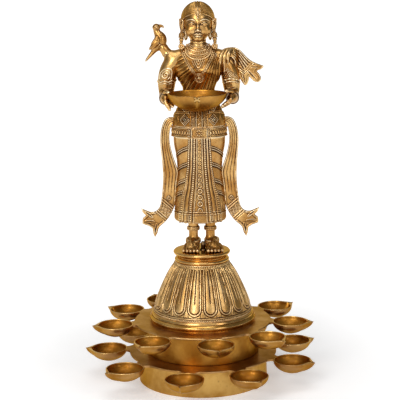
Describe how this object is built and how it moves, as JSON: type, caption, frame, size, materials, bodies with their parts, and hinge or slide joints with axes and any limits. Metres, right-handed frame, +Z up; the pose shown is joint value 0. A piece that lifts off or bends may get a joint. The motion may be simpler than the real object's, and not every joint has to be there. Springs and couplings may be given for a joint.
{
  "type": "figural oil lamp",
  "caption": "Cast brass lamp: a standing woman with a bowl on a petalled bell pedestal over two round tiers ringed with pointed oil bowls.",
  "frame": {"origin": "centre of the lower drum's foot, on the surface that it stands on", "axes": "+Z up along the rod, the figure faces -Y, +X is her left"},
  "size_m": [0.3475, 0.3499, 0.56],
  "materials": {
    "bowl_brass": "satin, worn",
    "satin_brass": "satin",
    "antique_brass": "polished high spots over dark patina",
    "plain_brass": "as machined"
  },
  "bodies": {
    "lower_tier": {"lower_drum": "satin_brass", "lower_plate": "satin_brass", "lower_lamp_1": "bowl_brass", "lower_lamp_2": "bowl_brass", "lower_lamp_3": "bowl_brass", "lower_lamp_4": "bowl_brass", "lower_lamp_5": "bowl_brass", "lower_lamp_6": "bowl_brass", "lower_lamp_7": "bowl_brass", "lower_lamp_8": "bowl_brass", "lower_lamp_9": "bowl_brass"},
    "upper_tier": {"upper_drum": "satin_brass", "upper_plate": "satin_brass", "upper_lamp_1": "bowl_brass", "upper_lamp_2": "bowl_brass", "upper_lamp_3": "bowl_brass", "upper_lamp_4": "bowl_brass", "upper_lamp_5": "bowl_brass", "upper_lamp_6": "bowl_brass", "upper_lamp_7": "bowl_brass", "upper_lamp_8": "bowl_brass", "upper_lamp_9": "bowl_brass"},
    "pedestal": {"pedestal_foot": "satin_brass", "pedestal_dome": "antique_brass", "pedestal_collar": "satin_brass", "figure_plinth": "satin_brass", "tie_rod": "plain_brass", "tie_washer": "plain_brass", "tie_nut": "plain_brass", "offering_bowl": "bowl_brass", "torso": "antique_brass", "belt": "antique_brass", "skirt": "antique_brass", "head": "antique_brass", "necklace": "antique_brass", "parrot_peg": "antique_brass", "parrot": "antique_brass", "shoulder_drape": "antique_brass", "right_arm": "antique_brass", "right_armlet": "antique_brass", "right_bangles": "antique_brass", "right_leg": "antique_brass", "right_earring": "antique_brass", "right_sash": "antique_brass", "left_arm": "antique_brass", "left_armlet": "antique_brass", "left_bangles": "antique_brass", "left_leg": "antique_brass", "left_earring": "antique_brass", "left_sash": "antique_brass"}
  },
  "joints": [
    {"name": "upper_tier_turn", "type": "hinge", "parent": "lower_tier", "child": "upper_tier", "pos_m": [0, 0, 0.0439], "axis": [0, 0, 1], "continuous": true},
    {"name": "pedestal_turn", "type": "hinge", "parent": "upper_tier", "child": "pedestal", "pos_m": [0, 0, 0.0906], "axis": [0, 0, 1], "continuous": true}
  ]
}
